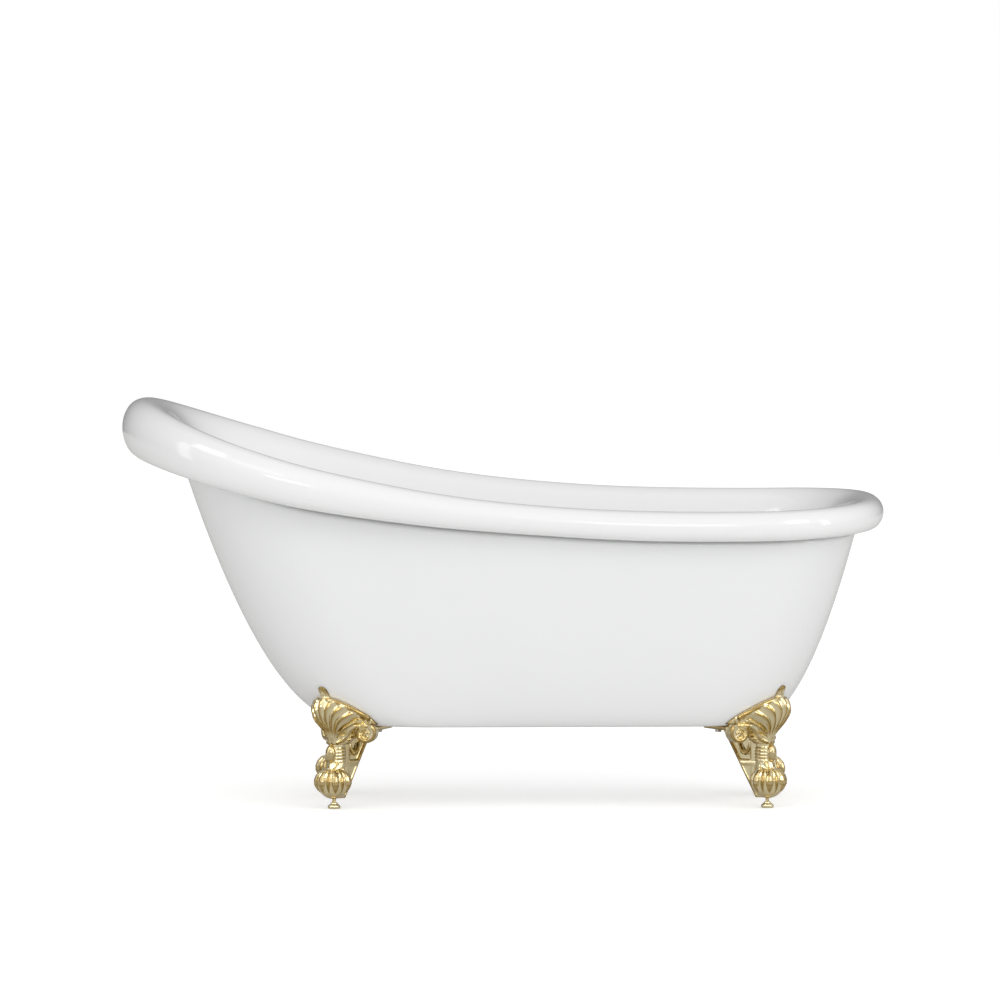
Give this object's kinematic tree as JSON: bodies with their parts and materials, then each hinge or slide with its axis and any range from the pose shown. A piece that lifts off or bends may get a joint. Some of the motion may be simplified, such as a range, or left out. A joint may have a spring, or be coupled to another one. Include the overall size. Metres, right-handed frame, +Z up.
{
  "type": "clawfoot bathtub",
  "caption": "Double-skinned single-slipper bathtub with a rolled rim, raised at the head end, on cast ball-and-claw feet with levelling screws, pop-up waste and overflow.",
  "frame": {"origin": "floor level under the middle of the rim", "axes": "+Z up; X along the tub, -X at the raised head end; the tub is mirrored across Y = 0"},
  "size_m": [1.5, 0.7522, 0.795],
  "materials": {
    "white_acrylic": "high gloss white acrylic, seamless inside and over the rolled rim",
    "white_acrylic_skirt": "gloss white acrylic skirt",
    "board": "plain board",
    "block": "sawn block",
    "gold_cast": "polished pale gold casting",
    "gold_turned": "polished pale gold, turned",
    "steel_screw": "zinc-plated steel",
    "black_rubber": "matte rubber",
    "white_pipe": "moulded plastic",
    "grey_pipe": "extruded plastic pipe"
  },
  "bodies": {
    "tub": {"basin_shell": "white_acrylic", "skirt_shell": "white_acrylic_skirt", "base_board": "board", "foot_head_far": "gold_cast", "foot_head_near": "gold_cast", "foot_low_far": "gold_cast", "foot_low_near": "gold_cast", "foot_block_head_far": "block", "foot_block_head_near": "block", "foot_block_low_far": "block", "foot_block_low_near": "block", "foot_bolts": "steel_screw", "foot_washers": "steel_screw", "tee_nuts": "steel_screw", "drain_flange": "gold_turned", "drain_gasket": "black_rubber", "drain_shoe": "white_pipe", "overflow_cover": "gold_turned", "overflow_screws": "gold_turned", "overflow_gasket": "black_rubber", "overflow_head": "white_pipe", "overflow_pipe": "grey_pipe", "pipe_nuts": "white_pipe"},
    "pad_head_far": {"leveller_pad_head_far": "gold_turned"},
    "screw_head_far": {"leveller_screw_head_far": "steel_screw"},
    "pad_head_near": {"leveller_pad_head_near": "gold_turned"},
    "screw_head_near": {"leveller_screw_head_near": "steel_screw"},
    "pad_low_far": {"leveller_pad_low_far": "gold_turned"},
    "screw_low_far": {"leveller_screw_low_far": "steel_screw"},
    "pad_low_near": {"leveller_pad_low_near": "gold_turned"},
    "screw_low_near": {"leveller_screw_low_near": "steel_screw"},
    "stopper": {"stopper_cap": "gold_turned", "stopper_stem": "steel_screw", "stopper_seal": "black_rubber"}
  },
  "joints": [
    {"name": "level_head_far", "type": "slide", "parent": "tub", "child": "pad_head_far", "axis": [0, 0, 1], "range_m": [-0.01, 0.004]},
    {"name": "turn_head_far", "type": "hinge", "parent": "pad_head_far", "child": "screw_head_far", "pos_m": [-0.33185, 0.16199, 0.03], "axis": [0, 0, 1], "range_deg": [-2881, 1153]},
    {"name": "level_head_near", "type": "slide", "parent": "tub", "child": "pad_head_near", "axis": [0, 0, 1], "range_m": [-0.01, 0.004]},
    {"name": "turn_head_near", "type": "hinge", "parent": "pad_head_near", "child": "screw_head_near", "pos_m": [-0.33185, -0.16199, 0.03], "axis": [0, 0, 1], "range_deg": [-2881, 1153]},
    {"name": "level_low_far", "type": "slide", "parent": "tub", "child": "pad_low_far", "axis": [0, 0, 1], "range_m": [-0.01, 0.004]},
    {"name": "turn_low_far", "type": "hinge", "parent": "pad_low_far", "child": "screw_low_far", "pos_m": [0.51987, 0.14083, 0.03], "axis": [0, 0, 1], "range_deg": [-2881, 1153]},
    {"name": "level_low_near", "type": "slide", "parent": "tub", "child": "pad_low_near", "axis": [0, 0, 1], "range_m": [-0.01, 0.004]},
    {"name": "turn_low_near", "type": "hinge", "parent": "pad_low_near", "child": "screw_low_near", "pos_m": [0.51987, -0.14083, 0.03], "axis": [0, 0, 1], "range_deg": [-2881, 1153]},
    {"name": "stopper_lift", "type": "slide", "parent": "tub", "child": "stopper", "axis": [0, 0, 1], "range_m": [0, 0.009]}
  ],
  "couplings": [
    {"joint": "turn_head_far", "follows": "level_head_far", "rad_per_m": 5026.5},
    {"joint": "turn_head_near", "follows": "level_head_near", "rad_per_m": 5026.5},
    {"joint": "turn_low_far", "follows": "level_low_far", "rad_per_m": 5026.5},
    {"joint": "turn_low_near", "follows": "level_low_near", "rad_per_m": 5026.5}
  ]
}
